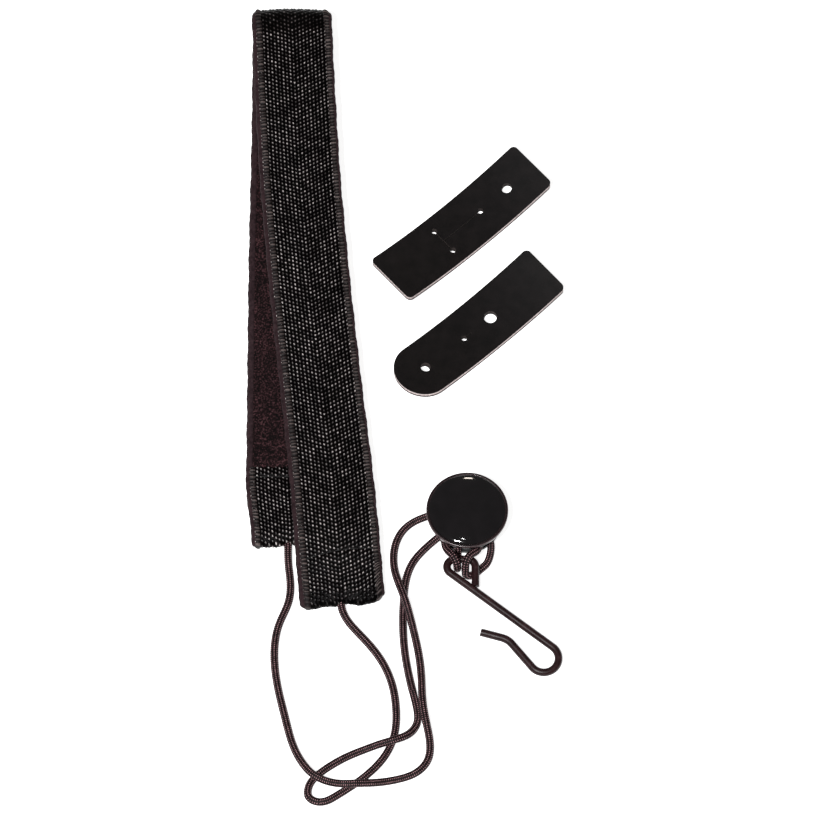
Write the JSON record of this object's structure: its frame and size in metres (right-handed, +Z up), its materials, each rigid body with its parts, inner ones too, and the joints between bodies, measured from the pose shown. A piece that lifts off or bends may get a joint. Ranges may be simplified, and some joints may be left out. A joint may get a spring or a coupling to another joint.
{
  "type": "saxophone neck strap",
  "caption": "Folded herringbone neck band on a braided cord, with a round sliding adjuster, an open wire hook and two leather thumb rest tabs.",
  "frame": {"origin": "on the table, under the middle of the strap, adjuster, hook and tabs as they lie", "axes": "+X to the right across the strap, +Y along the strap from the hook end to the fold, +Z up from the table"},
  "size_m": [0.0971, 0.2667, 0.0116],
  "materials": {
    "webbing": "black herringbone webbing with a slight sheen",
    "lining": "dark brown suede",
    "edge_thread": "dark brown overcast thread",
    "stitching": "black sewing thread",
    "cord": "black-brown braided cord",
    "adjuster_plastic": "black moulded plastic",
    "adjuster_cap_plastic": "polished black plastic",
    "adjuster_dome_resin": "glossy black resin",
    "post_steel": "plain steel",
    "hook_lacquer": "glossy black-brown lacquer on steel wire",
    "tab_leather": "black smooth-grain leather with a pale cut edge"
  },
  "bodies": {
    "root": {"webbing_rear": "webbing", "lining_rear": "lining", "edge_thread_rear": "edge_thread", "hem_stitch_rear": "stitching", "cord_knot_rear": "cord", "cord_rear_run": "cord", "cord_front_run": "cord", "cord_hook_loops": "cord"},
    "front_leg": {"webbing_front": "webbing", "lining_front": "lining", "edge_thread_front": "edge_thread", "hem_stitch_front": "stitching", "cord_knot_front": "cord"},
    "adjuster": {"adjuster_base": "adjuster_plastic", "adjuster_post": "post_steel", "adjuster_cap": "adjuster_cap_plastic", "adjuster_dome": "adjuster_dome_resin", "cord_in_adjuster": "cord"},
    "hook": {"hook": "hook_lacquer"},
    "tab_slotted": {"tab_slotted": "tab_leather"},
    "tab_round": {"tab_round": "tab_leather"}
  },
  "joints": [
    {"name": "strap_open", "type": "hinge", "parent": "root", "child": "front_leg", "pos_m": [-0.0365, 0.1075, 0.0116], "axis": [-1, 0, 0], "range_deg": [0, 25]},
    {"name": "adjuster_slide", "type": "slide", "parent": "root", "child": "adjuster", "axis": [0, 1, 0], "range_m": [0, 0.02]},
    {"name": "hook_swing", "type": "hinge", "parent": "root", "child": "hook", "pos_m": [0.0161, -0.0743, 0.0039], "axis": [-1, 0, 0], "range_deg": [0, 40]},
    {"name": "tab_slotted_lift", "type": "slide", "parent": "root", "child": "tab_slotted", "axis": [0, 0, 1], "range_m": [0, 0.04]},
    {"name": "tab_round_lift", "type": "slide", "parent": "root", "child": "tab_round", "axis": [0, 0, 1], "range_m": [0, 0.04]}
  ]
}
